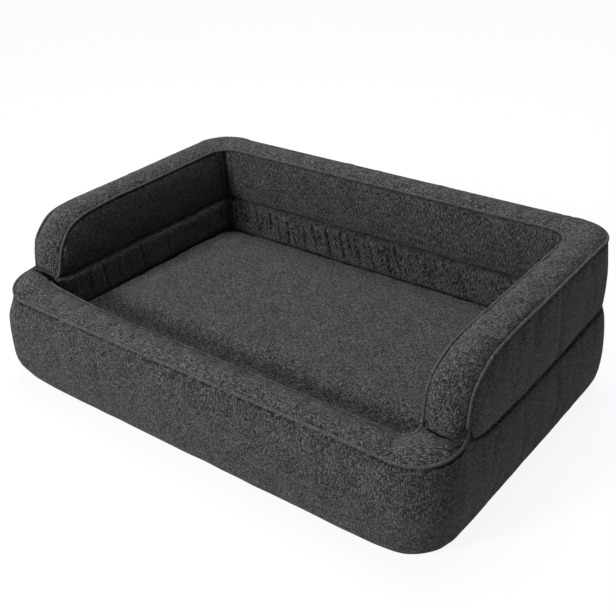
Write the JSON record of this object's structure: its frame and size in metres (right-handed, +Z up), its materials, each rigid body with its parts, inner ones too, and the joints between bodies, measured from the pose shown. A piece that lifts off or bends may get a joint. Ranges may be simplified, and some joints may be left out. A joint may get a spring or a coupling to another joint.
{
  "type": "dog bed",
  "caption": "Rectangular bolstered dog bed in dark woven cloth, with a low front wall, piped top edges, zipped cover and a mattress that lifts out.",
  "frame": {"origin": "on the floor under the middle of the bed", "axes": "+X along the front to the right, +Y to the back, +Z up"},
  "size_m": [0.91, 0.626, 0.3],
  "materials": {
    "cover_cloth": "mottled dark grey linen-look weave",
    "piping_cloth": "cord covered in the same cloth, cut on the bias",
    "bottom_cloth": "plain black backing cloth with grip dots",
    "foam": "open-cell foam",
    "fill": "polyester fibre in wadding",
    "zip_tape": "woven tape",
    "zip_coil": "moulded coil",
    "zip_metal": "black enamel"
  },
  "bodies": {
    "bed": {"base_border": "cover_cloth", "front_top_band": "cover_cloth", "bolster_top_band": "cover_cloth", "bolster_outer_panel": "cover_cloth", "bolster_inner_panel": "cover_cloth", "well_border": "cover_cloth", "well_floor": "cover_cloth", "bottom_panel": "bottom_cloth", "outer_piping": "piping_cloth", "inner_piping": "piping_cloth", "front_wall_foam": "foam", "back_wall_foam": "foam", "left_wall_foam": "foam", "right_wall_foam": "foam", "left_bolster_fill": "fill", "right_bolster_fill": "fill", "back_bolster_fill": "fill", "cover_zip_tapes": "zip_tape", "cover_zip_coils": "zip_coil", "cover_zip_stops": "zip_metal"},
    "mattress": {"mattress_top_panel": "cover_cloth", "mattress_border": "cover_cloth", "mattress_bottom_panel": "bottom_cloth", "mattress_comfort_foam": "foam", "mattress_support_foam": "foam", "mattress_zip_tapes": "zip_tape", "mattress_zip_coils": "zip_coil", "mattress_zip_stops": "zip_metal"},
    "cover_slider": {"cover_zip_slider": "zip_metal"},
    "cover_pull": {"cover_zip_pull": "zip_metal"},
    "mattress_slider": {"mattress_zip_slider": "zip_metal", "mattress_zip_pull": "zip_metal"}
  },
  "joints": [
    {"name": "mattress_lift", "type": "slide", "parent": "bed", "child": "mattress", "axis": [0, 0, 1], "range_m": [0, 0.3]},
    {"name": "cover_slider_run", "type": "slide", "parent": "bed", "child": "cover_slider", "axis": [-1, 0, 0], "range_m": [0, 0.584]},
    {"name": "cover_pull_swing", "type": "hinge", "parent": "cover_slider", "child": "cover_pull", "pos_m": [0.2922, 0.31, 0.06], "axis": [0, 0, -1], "range_deg": [0, 180]},
    {"name": "mattress_slider_run", "type": "slide", "parent": "mattress", "child": "mattress_slider", "axis": [-1, 0, 0], "range_m": [0, 0.504]}
  ]
}
